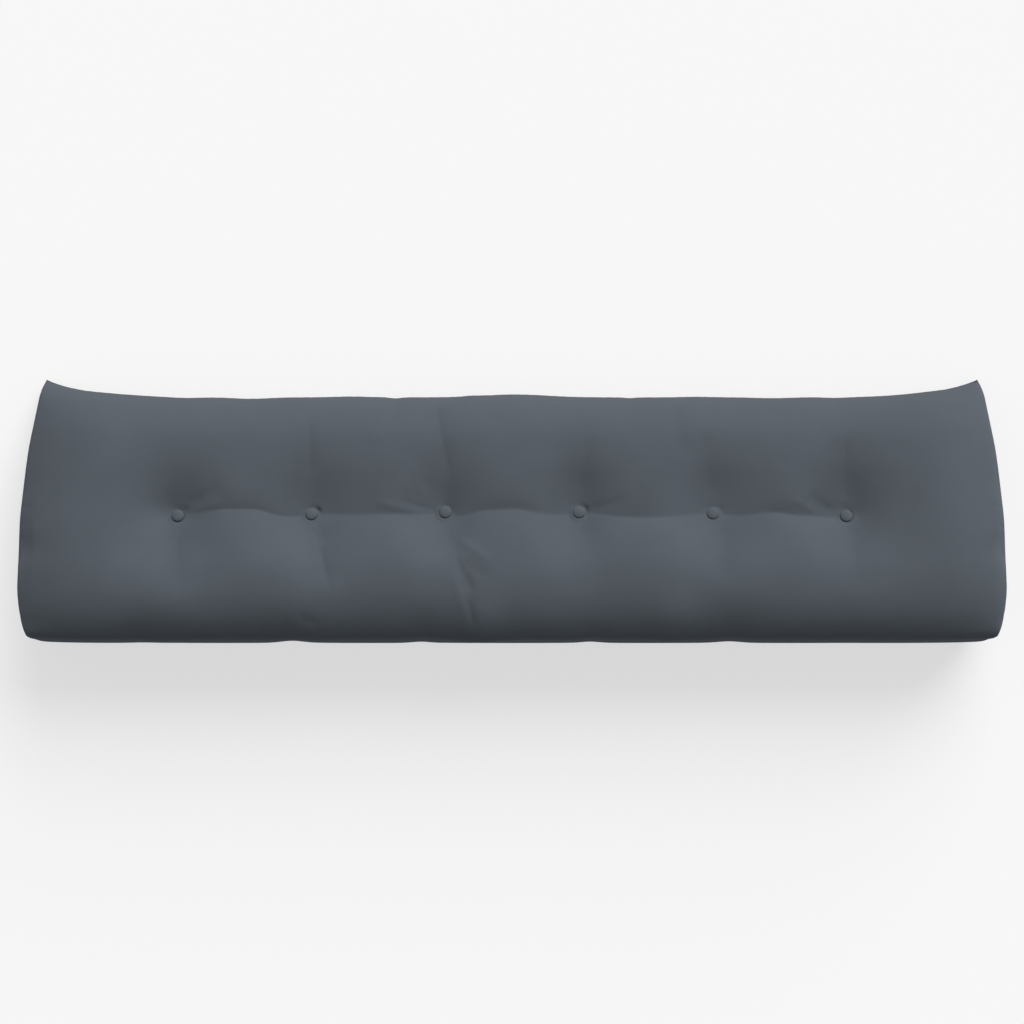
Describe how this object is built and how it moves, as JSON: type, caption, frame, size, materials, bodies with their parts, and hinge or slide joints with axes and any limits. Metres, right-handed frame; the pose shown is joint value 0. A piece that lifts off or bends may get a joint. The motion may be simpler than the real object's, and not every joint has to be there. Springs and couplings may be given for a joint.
{
  "type": "wedge-shaped tufted back cushion",
  "caption": "Long wedge-shaped back cushion in plain soft cloth, tufted with a row of covered buttons, lying on its flat back.",
  "frame": {"origin": "centre of the bounding box, on the surface that the back panel lies on", "axes": "+X along the length, +Y towards the thin top edge, +Z out of the buttoned face"},
  "size_m": [1.822, 0.491, 0.196],
  "materials": {
    "cover_fabric": "soft matte short-nap woven polyester, dark blue-grey",
    "button_fabric": "the cover's cloth, stretched over button shells"
  },
  "bodies": {
    "root": {"cushion": "cover_fabric", "button_1": "button_fabric", "button_2": "button_fabric", "button_3": "button_fabric", "button_4": "button_fabric", "button_5": "button_fabric", "button_6": "button_fabric"}
  },
  "joints": []
}
